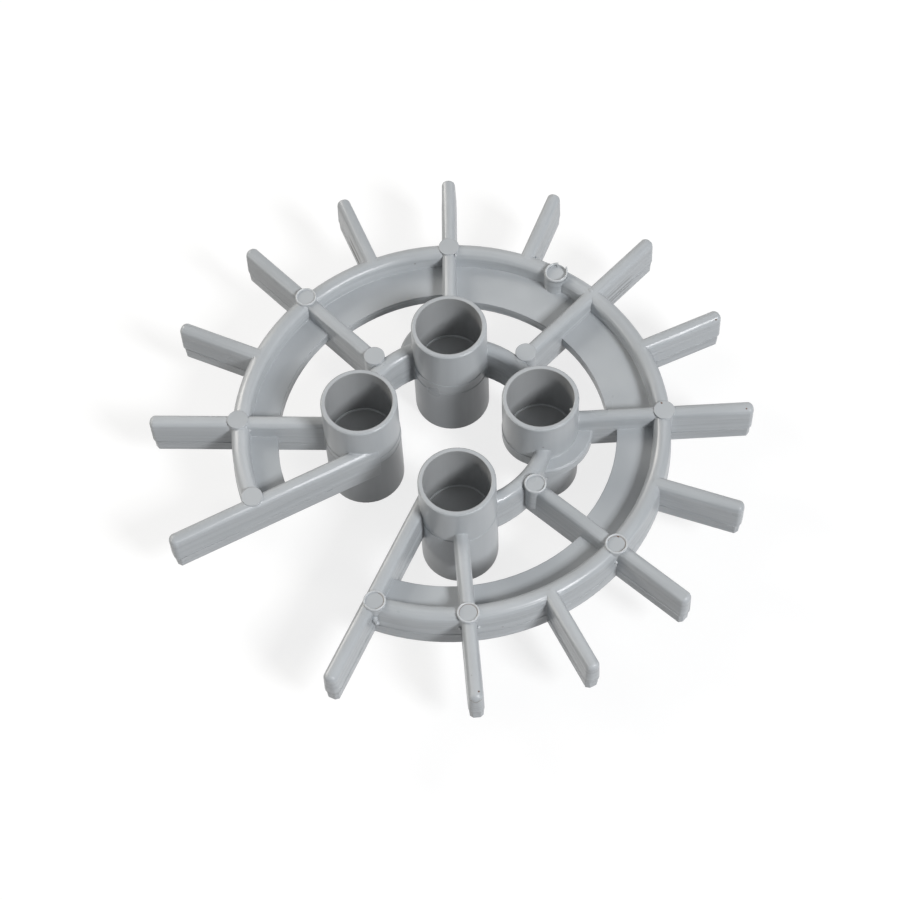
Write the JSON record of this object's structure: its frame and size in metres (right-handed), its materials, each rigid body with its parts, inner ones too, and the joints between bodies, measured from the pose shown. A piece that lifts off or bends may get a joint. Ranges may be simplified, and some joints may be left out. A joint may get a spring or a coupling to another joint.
{
  "type": "rebar wheel spacer",
  "caption": "Wheel-shaped plastic spacer with short fins round a ring, spokes and a web that carry hollow tubes; a flared mouth snaps it over a reinforcing bar to keep concrete cover.",
  "frame": {"origin": "on the axis of the bar that the four tubes grip, in the plane the tubes stand on", "axes": "+Z along the bar and up out of the plane the tubes stand on, the mouth opens towards -Y"},
  "size_m": [0.101, 0.0978, 0.0225],
  "materials": {
    "moulding": "light grey moulded plastic, satin, with faint flow marks"
  },
  "bodies": {
    "root": {"wheel_spacer": "moulding"}
  },
  "joints": []
}
